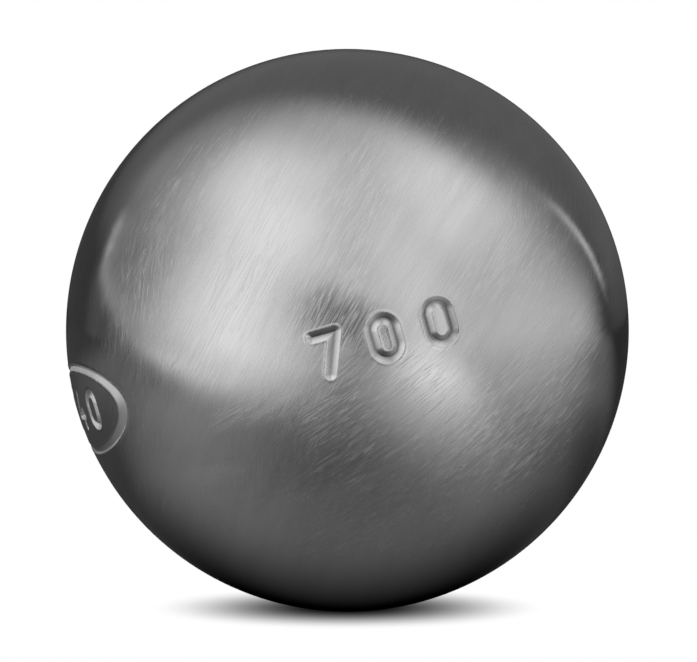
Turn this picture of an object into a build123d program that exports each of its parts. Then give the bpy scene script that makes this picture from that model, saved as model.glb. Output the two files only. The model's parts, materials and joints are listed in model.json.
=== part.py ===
from build123d import *
import os
from math import asin, cos, degrees, hypot, pi, radians, sin, sqrt, tan

# A petanque boule: two forged steel half-shells, centred on each other by a lip and a rebate and
# joined by a weld bead round the equator that is turned flush with the ball.
# The origin is the centre of the ball and +Z is up as it lies. The weld plane is y = 0, and the
# front half-shell, which carries the stamped figures, is on the -Y side.

# Driving dimensions, in millimetres and degrees

# Ball, with the density of its steel in grams per cubic millimetre
boule_diameter = 74.0
wall_thickness = 6.17
steel_density = 0.00785

# Joint between the half-shells, from the inside outwards: lip and rebate, root face, weld groove
lip_thickness = 1.8
lip_length = 1.5
lip_side_clearance = 0.05
lip_end_clearance = 0.25
root_face_width = 1.2
groove_root_width = 1.0
groove_included_angle = 60.0

# Weight figure in grams, sunk into the front half-shell, each digit by its own punch
weight_step = 10
weight_azimuth = 42.3
weight_elevation = 5.0
weight_tilt = 15.5
weight_digit_height = 6.6
weight_digit_width = 4.6
weight_stroke = 1.6
weight_pitch = 7.3
weight_depth = 0.6

# Diameter figure in tenths of a millimetre, sunk inside an oval ring that is wider at its ends
size_step = 0.1
oval_azimuth = -40.0
oval_elevation = -14.7
oval_tilt = 6.6
oval_length = 30.4
oval_height = 12.4
oval_end_stroke = 2.0
oval_side_stroke = 1.2
size_digit_height = 5.6
size_digit_width = 4.0
size_stroke = 1.2
size_pitch = 6.0
size_depth = 0.6

# How far a punch reaches out of the ball, and past the floor that it leaves
punch_reach = 1.0

# Derived sizes
outer_radius = boule_diameter / 2
inner_radius = outer_radius - wall_thickness
rebate_radius = inner_radius + lip_thickness + lip_side_clearance
rebate_depth = lip_length + lip_end_clearance
lip_radius = rebate_radius - lip_side_clearance
groove_root_radius = rebate_radius + root_face_width
groove_root_half_width = groove_root_width / 2

# Figures that the marks give: the ball's weight and its diameter, each to its own step
shell_weight = steel_density * 4 / 3 * pi * (outer_radius**3 - inner_radius**3)
weight_figure = f"{round(shell_weight / weight_step) * weight_step}"
size_figure = f"{round(boule_diameter / size_step)}"

# Where the bevel of the weld groove runs out of the ball, as an angle from the weld plane
bevel_slope = tan(radians(groove_included_angle / 2))
bevel_lead = groove_root_radius + groove_root_half_width * bevel_slope
bevel_square = 1 + bevel_slope**2
bevel_room = outer_radius**2 - groove_root_radius**2 - groove_root_half_width**2
bevel_depth = (sqrt(bevel_lead**2 + bevel_square * bevel_room) - bevel_lead) / bevel_square
groove_edge_half_width = groove_root_half_width + bevel_depth * bevel_slope
groove_edge_angle = degrees(asin(groove_edge_half_width / outer_radius))


def mark_plane(azimuth, elevation, tilt, along=0.0):
    """Plane that touches the ball at a mark and faces outwards, moved along its line of writing."""
    turn, rise, lean = radians(azimuth), radians(elevation), radians(tilt)
    outward = Vector(sin(turn) * cos(rise), -cos(turn) * cos(rise), sin(rise))
    east = Vector(cos(turn), sin(turn), 0)
    writing = east * cos(lean) + outward.cross(east) * sin(lean)
    step = along / outer_radius
    outward_there = outward * cos(step) + writing * sin(step)
    writing_there = writing * cos(step) - outward * sin(step)
    return Plane(origin=outward_there * outer_radius, x_dir=writing_there, z_dir=outward_there)


def digit_places(figure, pitch):
    """Each digit of a figure, with its distance from the middle of the figure."""
    first = -(len(figure) - 1) / 2 * pitch
    return [(digit, first + index * pitch) for index, digit in enumerate(figure)]


def digit_strokes(digit, wide, high):
    """Middle lines of a digit's strokes, from half its width and half its height.

    Two points are a straight stroke and three are an arc. Bowls are round, with half the width as radius.
    """
    bowl = high - wide
    waist = wide - bowl
    top_bowl = [(-wide, bowl), (0, high), (wide, bowl)]
    low_bowl = [(wide, -bowl), (0, -high), (-wide, -bowl)]
    left_side = [(-wide, -bowl), (-wide, bowl)]
    right_side = [(wide, bowl), (wide, -bowl)]
    top_bar = [(-wide, high), (wide, high)]
    low_right_bowl = [(0, waist), (wide, -bowl), (0, -high)]
    low_tail = [(0, -high), (-wide, -high)]
    return {
        "0": [top_bowl, right_side, low_bowl, left_side],
        "1": [[(-wide, bowl), (0, high)], [(0, high), (0, -high)]],
        "2": [top_bowl, [(wide, bowl), (-wide, -high)], [(-wide, -high), (wide, -high)]],
        "3": [top_bar, [(wide, high), (0, waist)], low_right_bowl, low_tail],
        "4": [
            [(0, high), (-wide, -bowl)],
            [(-wide, -bowl), (wide, -bowl)],
            [(wide / 2, 0), (wide / 2, -high)],
        ],
        "5": [
            top_bar,
            [(-wide, high), (-wide, waist)],
            [(-wide, waist), (0, waist)],
            low_right_bowl,
            low_tail,
        ],
        "6": [top_bowl, left_side, low_bowl, [(wide, -bowl), (0, waist), (-wide, -bowl)]],
        "7": [top_bar, [(wide, high), (-wide / 3, -high)]],
        "8": [
            [(-bowl, wide), (0, high), (bowl, wide)],
            [(bowl, wide), (0, waist), (-bowl, wide)],
            [(-wide, -bowl), (0, waist), (wide, -bowl)],
            low_bowl,
        ],
        "9": [top_bowl, right_side, low_bowl, [(-wide, bowl), (0, -waist), (wide, bowl)]],
    }[digit]


def draw_digit(digit, width, height, stroke):
    """Draw one digit, in round-ended strokes, in the sketch that is open."""
    for line in digit_strokes(digit, (width - stroke) / 2, (height - stroke) / 2):
        points = [Vector(*point) for point in line]
        if len(points) == 2:
            SlotCenterPoint((points[0] + points[1]) / 2, points[1], stroke)
        else:
            SlotArc(ThreePointArc(points, mode=Mode.PRIVATE), stroke)


def punch_travel(reach, depth):
    """Length of a punch that cuts to a depth all over a mark that reaches so far from its middle."""
    fall = outer_radius - sqrt(outer_radius**2 - reach**2)
    return punch_reach + fall + depth + punch_reach


# Punch of the weight figure: each digit stands square to the ball, and the floors follow the ball
with BuildPart() as weight_punch:
    for digit, along in digit_places(weight_figure, weight_pitch):
        place = mark_plane(weight_azimuth, weight_elevation, weight_tilt, along)
        with BuildSketch(place.offset(punch_reach)):
            draw_digit(digit, weight_digit_width, weight_digit_height, weight_stroke)
        extrude(amount=-punch_travel(hypot(weight_digit_width, weight_digit_height) / 2, weight_depth))
    Sphere(outer_radius - weight_depth, mode=Mode.SUBTRACT)

# Punch of the diameter figure and of the oval ring round it, which is struck in one blow
with BuildPart() as size_punch:
    for digit, along in digit_places(size_figure, size_pitch):
        place = mark_plane(oval_azimuth, oval_elevation, oval_tilt, along)
        with BuildSketch(place.offset(punch_reach)):
            draw_digit(digit, size_digit_width, size_digit_height, size_stroke)
        extrude(amount=-punch_travel(hypot(size_digit_width, size_digit_height) / 2, size_depth))
    with BuildSketch(mark_plane(oval_azimuth, oval_elevation, oval_tilt).offset(punch_reach)):
        Ellipse(oval_length / 2, oval_height / 2)
        Ellipse(oval_length / 2 - oval_end_stroke, oval_height / 2 - oval_side_stroke, mode=Mode.SUBTRACT)
    extrude(amount=-punch_travel(oval_length / 2, size_depth))
    Sphere(outer_radius - size_depth, mode=Mode.SUBTRACT)

# Front half-shell: a hemisphere with the rebate and half of the weld groove at its rim, then the marks
with BuildPart() as front_half_shell:
    with BuildSketch(Plane.XY):
        with BuildLine():
            outside = CenterArc((0, 0), outer_radius, -90, 90 - groove_edge_angle)
            inside = CenterArc((0, 0), inner_radius, -90, 90 - degrees(asin(rebate_depth / inner_radius)))
            Polyline(
                outside @ 1,
                (groove_root_radius, -groove_root_half_width),
                (groove_root_radius, 0),
                (rebate_radius, 0),
                (rebate_radius, -rebate_depth),
                inside @ 1,
            )
            Line(inside @ 0, outside @ 0)
        make_face()
    revolve(axis=Axis.Y)
    add(weight_punch.part, mode=Mode.SUBTRACT)
    add(size_punch.part, mode=Mode.SUBTRACT)

# Rear half-shell: the matching hemisphere, with the lip that enters the rebate
with BuildPart() as rear_half_shell:
    with BuildSketch(Plane.XY):
        with BuildLine():
            outside = CenterArc((0, 0), outer_radius, 90, groove_edge_angle - 90)
            inside = CenterArc((0, 0), inner_radius, 90, -90 - degrees(asin(lip_length / inner_radius)))
            Polyline(
                outside @ 1,
                (groove_root_radius, groove_root_half_width),
                (groove_root_radius, 0),
                (lip_radius, 0),
                (lip_radius, -lip_length),
                inside @ 1,
            )
            Line(inside @ 0, outside @ 0)
        make_face()
    revolve(axis=Axis.Y)

# Weld bead: fills the groove and is flush with the ball
with BuildPart() as weld_bead:
    with BuildSketch(Plane.XY):
        with BuildLine():
            crown = CenterArc((0, 0), outer_radius, -groove_edge_angle, 2 * groove_edge_angle)
            Polyline(
                crown @ 1,
                (groove_root_radius, groove_root_half_width),
                (groove_root_radius, -groove_root_half_width),
                crown @ 0,
            )
        make_face()
    revolve(axis=Axis.Y)

os.makedirs("parts", exist_ok=True)
for name, piece in (
    ("front_half_shell", front_half_shell),
    ("rear_half_shell", rear_half_shell),
    ("weld_bead", weld_bead),
):
    piece.part.label = name
    export_step(piece.part, f"parts/{name}.step")
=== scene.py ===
"""Petanque boule: two half-shells and their weld in satin brushed steel, built on the packed frame."""
import json
from cmath import phase
from math import asin, ceil, cos, pi, radians, sin, sqrt, tan

import bmesh
import bpy
import numpy as np
from bpy.props import FloatProperty, FloatVectorProperty, IntProperty, PointerProperty, StringProperty
from mathutils import Matrix, Vector
from mathutils.kdtree import KDTree


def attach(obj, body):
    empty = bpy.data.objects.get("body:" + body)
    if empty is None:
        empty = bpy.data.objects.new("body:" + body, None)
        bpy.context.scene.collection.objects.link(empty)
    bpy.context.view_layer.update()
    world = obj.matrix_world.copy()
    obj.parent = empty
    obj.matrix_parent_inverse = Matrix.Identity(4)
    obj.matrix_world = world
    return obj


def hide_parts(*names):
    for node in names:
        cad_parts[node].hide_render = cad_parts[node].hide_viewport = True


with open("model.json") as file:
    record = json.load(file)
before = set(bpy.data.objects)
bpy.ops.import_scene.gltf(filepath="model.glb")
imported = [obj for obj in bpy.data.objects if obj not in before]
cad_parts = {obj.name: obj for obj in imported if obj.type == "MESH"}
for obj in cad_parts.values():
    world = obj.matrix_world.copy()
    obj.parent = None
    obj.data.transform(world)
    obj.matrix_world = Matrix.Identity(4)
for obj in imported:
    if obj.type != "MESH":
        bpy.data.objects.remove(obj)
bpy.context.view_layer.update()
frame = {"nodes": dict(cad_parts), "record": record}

bl_info = {
    "name": "Petanque Boule",
    "version": (1, 0, 0),
    "blender": (4, 5, 0),
    "location": "View3D > Sidebar > Boule",
    "description": "Builds a stamped, brushed steel petanque boule on its packed frame",
    "category": "Object",
}

MM = 0.001

# Corners of the CAD nodes that lie this close to each other count as level
LEVEL = 0.001 * MM


def node_rings(node):
    """Distance from the Y axis, and place along it, of every corner of a CAD node."""
    points = np.array([corner.co for corner in frame["nodes"][node].data.vertices], float)
    return np.hypot(points[:, 0], points[:, 2]), points[:, 1]


front_r, front_y = node_rings("front_half_shell")
rear_r, rear_y = node_rings("rear_half_shell")
weld_r, weld_y = node_rings("weld_bead")
seat = next(mount for mount in frame["record"]["mounts"] if mount["name"] == "ball_seat")

# Sizes of the ball, the lip, the rebate and the weld groove, taken from the packed CAD
BALL_RADIUS = seat["dims"]["r_mm"] * MM
HOLLOW_RADIUS = float(np.hypot(front_r, front_y).min())
GROOVE_ROOT_RADIUS = float(weld_r.min())
GROOVE_ROOT_HALF_WIDTH = float(weld_y[weld_r < GROOVE_ROOT_RADIUS + LEVEL].max())
GROOVE_EDGE_HALF_WIDTH = float(weld_y.max())
REBATE_RADIUS = float(front_r[front_y > -LEVEL].min())
REBATE_DEPTH = float(-front_y[abs(front_r - REBATE_RADIUS) < LEVEL].min())
LIP_LENGTH = float(-rear_y.min())
LIP_RADIUS = float(rear_r[rear_y < LEVEL - LIP_LENGTH].max())
GROOVE_EDGE_ANGLE = asin(GROOVE_EDGE_HALF_WIDTH / BALL_RADIUS)

# Width of the photograph in pixels, and the ball's radius and place from the middle in it
IMAGE_WIDTH = 697
BALL_RADIUS_PX = 281.5
BALL_OFFSET_PX = (-1.1, 0.7)


def length_property(name, description, default):
    """A length in metres that a user may change."""
    return FloatProperty(
        name=name, description=description, default=default, subtype="DISTANCE", unit="LENGTH", precision=5
    )


def angle_property(name, description, default):
    """An angle that a user may change, given here in degrees."""
    return FloatProperty(
        name=name, description=description, default=radians(default), subtype="ANGLE", unit="ROTATION"
    )


def share_property(name, description, default):
    """A share from 0 to 1 that a user may change."""
    return FloatProperty(
        name=name, description=description, default=default, min=0.0, max=1.0, subtype="FACTOR"
    )


class BouleShellSettings(bpy.types.PropertyGroup):
    """Fineness of the turned half-shells and of the weld."""

    segments: IntProperty(
        name="Segments", description="Faces round the ball", default=192, min=24, max=512
    )
    row: length_property("Row", "Length of a row of faces on the plain ball", 1.2 * MM)


class BouleWeightSettings(bpy.types.PropertyGroup):
    """Sunk figure that gives the weight in grams."""

    figure: StringProperty(name="Figure", description="Weight in grams", default="700")
    azimuth: angle_property("Azimuth", "Turn of the figure's middle from the front of the ball", 42.3)
    elevation: angle_property("Elevation", "Rise of the figure's middle above the ball's middle", 5.0)
    tilt: angle_property("Tilt", "Slope of the line of writing", 15.5)
    digit_height: length_property("Digit Height", "Height of a digit over its strokes", 6.6 * MM)
    digit_width: length_property("Digit Width", "Width of a digit over its strokes", 4.6 * MM)
    stroke: length_property("Stroke", "Width of a stroke", 1.6 * MM)
    pitch: length_property("Pitch", "Distance from digit to digit", 7.3 * MM)
    depth: length_property("Depth", "Depth of the strokes below the ball's surface", 0.45 * MM)


class BouleSizeSettings(bpy.types.PropertyGroup):
    """Sunk figure that gives the diameter in tenths of a millimetre, and the oval ring round it."""

    figure: StringProperty(name="Figure", description="Diameter in tenths of a millimetre", default="740")
    azimuth: angle_property("Azimuth", "Turn of the oval's middle from the front of the ball", -40.0)
    elevation: angle_property("Elevation", "Rise of the oval's middle above the ball's middle", -14.7)
    tilt: angle_property("Tilt", "Slope of the oval's long side", 6.6)
    oval_length: length_property("Oval Length", "Length of the oval ring over its ends", 30.4 * MM)
    oval_height: length_property("Oval Height", "Height of the oval ring over its long sides", 12.4 * MM)
    end_stroke: length_property("End Stroke", "Width of the ring at its ends", 2.0 * MM)
    side_stroke: length_property("Side Stroke", "Width of the ring at its long sides", 1.2 * MM)
    digit_height: length_property("Digit Height", "Height of a digit over its strokes", 5.6 * MM)
    digit_width: length_property("Digit Width", "Width of a digit over its strokes", 4.0 * MM)
    stroke: length_property("Stroke", "Width of a stroke", 1.2 * MM)
    pitch: length_property("Pitch", "Distance from digit to digit", 6.0 * MM)
    depth: length_property("Depth", "Depth of the strokes below the ball's surface", 0.45 * MM)
    ring_depth: length_property("Ring Depth", "Depth of the ring at its ends, where it is deepest", 0.45 * MM)


class BoulePunchSettings(bpy.types.PropertyGroup):
    """How the punches leave the steel: leaning V grooves with a burr along their edges."""

    lean: share_property("Lean", "Rise of a stroke's bottom, as a share of half its width", 0.05)
    ring_lean: share_property("Ring Lean", "Shift of the ring's bottom outwards, as such a share", 0.35)
    rim_width: length_property("Rim Width", "Width of the burr", 0.25 * MM)
    rim_height: length_property("Rim Height", "Height of the burr", 0.06 * MM)
    ring_rim_height: length_property("Ring Rim Height", "Height of the burr round the oval ring", 0.04 * MM)


class BouleSteelSettings(bpy.types.PropertyGroup):
    """Finish of the steel."""

    colour: FloatVectorProperty(
        name="Colour",
        description="Colour of the bare steel",
        default=(0.56, 0.56, 0.56),
        subtype="COLOR",
        size=3,
    )
    roughness: share_property("Roughness", "Roughness of the steel between the brush lines", 0.19)
    brush_length: length_property("Brush Length", "Length of a brush line", 12.0 * MM)
    brush_width: length_property("Brush Width", "Width of a brush line", 0.4 * MM)
    brush_height: length_property("Brush Height", "Height that the brush lines vary by", 0.009 * MM)
    brush_roughness: share_property("Brush Roughness", "Roughness that the brush lines add", 0.25)
    brush_spread: share_property("Brush Spread", "How much more light spreads across the lines", 0.85)
    brush_tone: share_property("Brush Tone", "Share of the colour that the brush lines vary by", 0.25)
    dull_roughness: share_property("Dull Roughness", "Roughness that the skin of the oval mark adds", 0.35)
    scratch_depth: length_property("Scratch Depth", "Depth of the stray hairlines", 0.006 * MM)


class BouleStageSettings(bpy.types.PropertyGroup):
    """Camera and surroundings."""

    azimuth: angle_property("Camera Azimuth", "Turn of the camera from the front of the ball", 35.0)
    elevation: angle_property("Camera Elevation", "Rise of the camera above the ball's middle", 6.5)
    distance: length_property("Camera Distance", "Distance of the camera from the ball's middle", 0.62)
    tent_radius: length_property("Tent Radius", "Radius of the light tent round the ball", 0.45)
    shadow_reach: length_property("Shadow Reach", "Reach of the ball's shadow to either side", 26.5 * MM)
    shadow_depth: share_property("Shadow Depth", "Its reach to the front, as a share of that", 0.63)


SETTINGS = (
    ("boule_shell", BouleShellSettings),
    ("boule_weight", BouleWeightSettings),
    ("boule_size", BouleSizeSettings),
    ("boule_punch", BoulePunchSettings),
    ("boule_steel", BouleSteelSettings),
    ("boule_stage", BouleStageSettings),
)


def add_node(tree, kind, inputs=None, **properties):
    """Add a node with its properties, and link or set its inputs."""
    node = tree.nodes.new(kind)
    for name, value in properties.items():
        setattr(node, name, value)
    for name, value in (inputs or {}).items():
        if isinstance(value, bpy.types.NodeSocket):
            tree.links.new(value, node.inputs[name])
        else:
            node.inputs[name].default_value = value
    return node


def add_value(tree, kind, inputs=None, output=0, **properties):
    """Add a node and return one of its outputs."""
    return add_node(tree, kind, inputs, **properties).outputs[output]


def add_math(tree, operation, *values, kind="ShaderNodeMath"):
    """Add a maths node and return what it gives."""
    return add_value(tree, kind, dict(enumerate(values)), operation=operation)


def add_vector(tree, operation, *vectors):
    """Add a vector maths node and return its vector, or its value where it gives one."""
    output = "Value" if operation in ("DOT_PRODUCT", "LENGTH") else "Vector"
    return add_value(tree, "ShaderNodeVectorMath", dict(enumerate(vectors)), output, operation=operation)


def add_parts(tree, *parts):
    """Add a node that joins values into a vector."""
    return add_value(tree, "ShaderNodeCombineXYZ", dict(enumerate(parts)))


def add_range(tree, value, low, high, start=0.0, end=1.0, smooth=False):
    """Add a node that runs from start at a low value to end at a high one, and is level beyond them."""
    inputs = {"Value": value, "From Min": low, "From Max": high, "To Min": start, "To Max": end}
    run = "SMOOTHSTEP" if smooth else "LINEAR"
    return add_value(tree, "ShaderNodeMapRange", inputs, interpolation_type=run)


def add_step(tree, step, geometry, **inputs):
    """Add a step that changes geometry, and return what it makes."""
    return add_value(tree, f"GeometryNode{step}", {"Geometry": geometry, **inputs})


def add_object(name, data):
    """Put a mesh or a camera into the scene as a new object."""
    obj = bpy.data.objects.new(name, data)
    bpy.context.scene.collection.objects.link(obj)
    return obj


def add_lines(name, lines):
    """Put lines of points into the scene as one mesh of edges."""
    points, edges = [], []
    for line in lines:
        edges += [(len(points) + index, len(points) + index + 1) for index in range(len(line) - 1)]
        points += [tuple(point) for point in line]
    mesh = bpy.data.meshes.new(name)
    mesh.from_pydata(points, edges, [])
    return add_object(name, mesh)


def remove_object(obj):
    """Take a helper object and its mesh out of the file."""
    mesh = obj.data
    bpy.data.objects.remove(obj)
    bpy.data.meshes.remove(mesh)


def run_tree(obj, tree, values):
    """Run a Geometry Nodes tree on an object, and keep the result as its plain mesh."""
    modifier = obj.modifiers.new(tree.name, "NODES")
    modifier.node_group = tree
    for item in tree.interface.items_tree:
        if item.item_type == "SOCKET" and item.in_out == "INPUT" and item.name in values:
            modifier[item.identifier] = values[item.name]
    depsgraph = bpy.context.evaluated_depsgraph_get()
    mesh = bpy.data.meshes.new_from_object(obj.evaluated_get(depsgraph), depsgraph=depsgraph)
    if not mesh.polygons:
        raise RuntimeError(f"{tree.name} gave no faces for {obj.name}")
    obj.modifiers.clear()
    old, obj.data = obj.data, mesh
    bpy.data.meshes.remove(old)
    mesh.name = obj.name
    for index in reversed(range(len(mesh.materials))):
        if mesh.materials[index] is None:
            mesh.materials.pop(index=index)


def new_tree(name, inputs):
    """A Geometry Nodes tree with inputs of several kinds, and the sockets of its group nodes."""
    tree = bpy.data.node_groups.new(name, "GeometryNodeTree")
    for kind, sockets in {"Geometry": ("Geometry",), **inputs}.items():
        for socket in sockets:
            tree.interface.new_socket(name=socket, in_out="INPUT", socket_type=f"NodeSocket{kind}")
    tree.interface.new_socket(name="Geometry", in_out="OUTPUT", socket_type="NodeSocketGeometry")
    return tree, tree.nodes.new("NodeGroupInput").outputs, tree.nodes.new("NodeGroupOutput").inputs


# Faces this close to the ball or to its hollow are outside or inside, and the others are joint faces
SKIN = 0.1 * MM

# Corners of a turned piece that lie this close to each other become one
MERGE_REACH = LEVEL / 10


def turned_shell_tree(name):
    """Geometry Nodes tree that turns a profile of points about the Y axis into a closed shell."""
    inputs = {
        "Object": ("profile",),
        "Int": ("segments",),
        "Float": ("ball_radius", "hollow_radius"),
        "Material": ("outside", "inside", "joint"),
    }
    tree, given, result = new_tree(name, inputs)
    integer = "FunctionNodeIntegerMath"
    profile = add_value(tree, "GeometryNodeObjectInfo", {"Object": given["profile"]}, "Geometry")
    count = add_value(tree, "GeometryNodeAttributeDomainSize", {"Geometry": profile}, "Point Count")
    columns = add_math(tree, "ADD", given["segments"], 1, kind=integer)
    shell = add_value(tree, "GeometryNodeMeshGrid", {"Vertices X": columns, "Vertices Y": count}, "Mesh")
    index = add_value(tree, "GeometryNodeInputIndex")
    row = add_math(tree, "MODULO", index, count, kind=integer)
    column = add_math(tree, "DIVIDE", index, count, kind=integer)
    turn = add_math(tree, "MULTIPLY", column, add_math(tree, "DIVIDE", 2 * pi, given["segments"]))
    position = add_value(tree, "GeometryNodeInputPosition")
    sample = {"Geometry": profile, "Value": position, "Index": row}
    point = add_value(tree, "GeometryNodeSampleIndex", sample, data_type="FLOAT_VECTOR")
    rotation = {"Vector": point, "Angle": turn}
    turned = add_value(tree, "ShaderNodeVectorRotate", rotation, rotation_type="Y_AXIS")
    shell = add_step(tree, "SetPosition", shell, Position=turned)
    shell = add_step(tree, "MergeByDistance", shell, Distance=MERGE_REACH)
    shell = add_step(tree, "RealizeInstances", shell)
    reach = add_vector(tree, "LENGTH", position)
    outside = add_math(tree, "GREATER_THAN", reach, add_math(tree, "SUBTRACT", given["ball_radius"], SKIN))
    inside = add_math(tree, "LESS_THAN", reach, add_math(tree, "ADD", given["hollow_radius"], SKIN))
    for material, selection in (("joint", True), ("outside", outside), ("inside", inside)):
        shell = add_step(tree, "SetMaterial", shell, Selection=selection, Material=given[material])
    tree.links.new(shell, result["Geometry"])
    return tree


# Share of a groove's wall over which its edge is eased, and share of a burr's width
EDGE_EASE = 0.25
RIM_EASE = 0.4

# Angle between faces in degrees past which an edge of a mark is sharp
SHARP_ANGLE = 35.0


def wall_share(tree, near, far, half, rise):
    """Share of a groove's depth, from the distances to its two edges and the rise of its bottom."""
    near_run = add_math(tree, "MULTIPLY", half, add_math(tree, "SUBTRACT", 1.0, rise))
    far_run = add_math(tree, "MULTIPLY", half, add_math(tree, "ADD", 1.0, rise))
    return add_math(
        tree, "MINIMUM", add_math(tree, "DIVIDE", near, near_run), add_math(tree, "DIVIDE", far, far_run)
    )


def stroke_groove(tree, position, given, mark):
    """Distance within the edge of the strokes of a figure, and share of their depth."""
    lines = add_value(tree, "GeometryNodeObjectInfo", {"Object": given[f"{mark}_lines"]}, "Geometry")
    nearest = add_node(tree, "GeometryNodeProximity", {0: lines}, target_element="EDGES").outputs
    half = add_math(tree, "MULTIPLY", given[f"{mark}_stroke"], 0.5)
    within = add_math(tree, "SUBTRACT", half, nearest["Distance"])
    across = add_vector(tree, "NORMALIZE", add_vector(tree, "SUBTRACT", position, nearest["Position"]))
    rise = add_vector(tree, "DOT_PRODUCT", across, given[f"{mark}_upward"])
    rise = add_math(tree, "MULTIPLY", rise, given["lean"])
    return within, wall_share(tree, within, add_math(tree, "ADD", half, nearest["Distance"]), half, rise)


def oval_reach(tree, flat, length, height):
    """Distance within an oval, close to the true one near its edge."""
    halves = [add_math(tree, "MULTIPLY", size, 0.5) for size in (length, height)]
    halves = add_parts(tree, *halves, 1.0)
    once = add_vector(tree, "DIVIDE", flat, halves)
    twice = add_vector(tree, "DIVIDE", once, halves)
    share, steepness = add_vector(tree, "LENGTH", once), add_vector(tree, "LENGTH", twice)
    within = add_math(tree, "MULTIPLY", share, add_math(tree, "SUBTRACT", 1.0, share))
    return add_math(tree, "DIVIDE", within, steepness)


def ring_groove(tree, position, given):
    """Distance within the nearer edge of the oval ring, and share of its depth, less at its sides."""
    axes = given["size_writing"], given["size_upward"]
    flat = add_parts(tree, *(add_vector(tree, "DOT_PRODUCT", position, axis) for axis in axes))
    outer = given["oval_length"], given["oval_height"]
    strokes = given["end_stroke"], given["side_stroke"]
    inner = [add_math(tree, "MULTIPLY_ADD", stroke, -2.0, size) for size, stroke in zip(outer, strokes)]
    from_outside = oval_reach(tree, flat, *outer)
    from_inside = add_math(tree, "MULTIPLY", oval_reach(tree, flat, *inner), -1.0)
    half = add_math(tree, "MULTIPLY", strokes[0], 0.5)
    within = add_math(tree, "MINIMUM", from_outside, from_inside)
    return within, wall_share(tree, from_outside, from_inside, half, given["ring_lean"])


# Sizes that the marks are pressed with: the settings that hold them, what is put before their names, and
# the names
MARK_SIZES = (
    ("boule_punch", "", ("lean", "ring_lean", "rim_width", "rim_height", "ring_rim_height")),
    ("boule_weight", "weight_", ("stroke", "depth")),
    ("boule_size", "size_", ("stroke", "depth")),
    ("boule_size", "", ("oval_length", "oval_height", "end_stroke", "side_stroke", "ring_depth")),
)


def stamped_marks_tree(name):
    """Geometry Nodes tree that presses V grooves into the ball: strokes of figures and an oval ring."""
    inputs = {
        "Material": ("outside",),
        "Object": ("weight_lines", "size_lines"),
        "Vector": ("weight_upward", "size_upward", "size_writing"),
        "Float": ("ball_radius", *(before + size for _, before, sizes in MARK_SIZES for size in sizes)),
    }
    tree, given, result = new_tree(name, inputs)
    position = add_value(tree, "GeometryNodeInputPosition")
    grooves = (
        (*stroke_groove(tree, position, given, "weight"), given["weight_depth"], given["rim_height"], 0.0),
        (*stroke_groove(tree, position, given, "size"), given["size_depth"], given["rim_height"], 1.0),
        (*ring_groove(tree, position, given), given["ring_depth"], given["ring_rim_height"], 1.0),
    )
    height, wall, dull = 0.0, 0.0, 0.0
    for within, share, depth, rim, skin in grooves:
        fall = add_math(tree, "SMOOTH_MAX", share, 0.0, EDGE_EASE)
        beyond = add_math(tree, "MULTIPLY", add_math(tree, "MINIMUM", within, 0.0), -1.0)
        swell = add_math(tree, "SUBTRACT", 1.0, add_math(tree, "DIVIDE", beyond, given["rim_width"]))
        swell = add_math(tree, "SMOOTH_MAX", swell, 0.0, RIM_EASE)
        swell = add_math(tree, "MULTIPLY", swell, add_math(tree, "SUBTRACT", 1.0, fall))
        height = add_math(tree, "MULTIPLY_ADD", swell, rim, height)
        height = add_math(tree, "SUBTRACT", height, add_math(tree, "MULTIPLY", fall, depth))
        wall = add_math(tree, "MAXIMUM", wall, fall)
        dull = add_math(tree, "MAXIMUM", dull, add_math(tree, "MULTIPLY", fall, skin))
    reach = add_vector(tree, "LENGTH", position)
    outside = add_math(tree, "GREATER_THAN", reach, add_math(tree, "SUBTRACT", given["ball_radius"], LEVEL))
    steel = given["Geometry"]
    for field, value in (("stamp_height", height), ("groove_wall", wall), ("dull_wall", dull)):
        value = add_math(tree, "MULTIPLY", value, outside)
        stored = {"Geometry": steel, "Name": field, "Value": value}
        steel = add_value(tree, "GeometryNodeStoreNamedAttribute", stored, data_type="FLOAT", domain="POINT")
    kept = add_value(tree, "GeometryNodeInputNamedAttribute", {"Name": "stamp_height"}, data_type="FLOAT")
    offset = add_vector(tree, "MULTIPLY", add_vector(tree, "NORMALIZE", position), kept)
    steel = add_step(tree, "SetPosition", steel, Offset=offset)
    steel = add_step(tree, "RealizeInstances", steel)
    marked = add_math(tree, "GREATER_THAN", add_math(tree, "ABSOLUTE", kept), 0.0)
    steel = add_step(tree, "SetMaterial", steel, Selection=marked, Material=given["outside"])
    tree.links.new(steel, result["Geometry"])
    return tree


def shared_tree(make, name):
    """The tree of that name, made when it is first asked for."""
    return bpy.data.node_groups.get(name) or make(name)


def arc_rows(radius, start, end, row):
    """Profile points of an arc about the ball's middle, between two angles from the weld plane."""
    rows = ceil(abs(end - start) * radius / row)
    return [(radius * cos(angle), radius * sin(angle), 0.0) for angle in np.linspace(start, end, rows + 1)]


def shell_profile(side, joint_radius, joint_depth):
    """Profile of a half-shell, from its outer pole over the joint to its inner pole."""
    row = bpy.context.scene.boule_shell.row
    pole = side * pi / 2
    return [
        *arc_rows(BALL_RADIUS, pole, side * GROOVE_EDGE_ANGLE, row),
        (GROOVE_ROOT_RADIUS, side * GROOVE_ROOT_HALF_WIDTH, 0.0),
        (GROOVE_ROOT_RADIUS, 0.0, 0.0),
        (joint_radius, 0.0, 0.0),
        (joint_radius, -joint_depth, 0.0),
        *arc_rows(HOLLOW_RADIUS, -asin(joint_depth / HOLLOW_RADIUS), pole, 2 * row),
    ]


def weld_profile():
    """Profile of the weld bead, once round from the edge of its crown."""
    crown = arc_rows(BALL_RADIUS, -GROOVE_EDGE_ANGLE, GROOVE_EDGE_ANGLE, bpy.context.scene.boule_shell.row)
    root = [(GROOVE_ROOT_RADIUS, side * GROOVE_ROOT_HALF_WIDTH, 0.0) for side in (1, -1)]
    return [*crown, *root, crown[0]]


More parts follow.
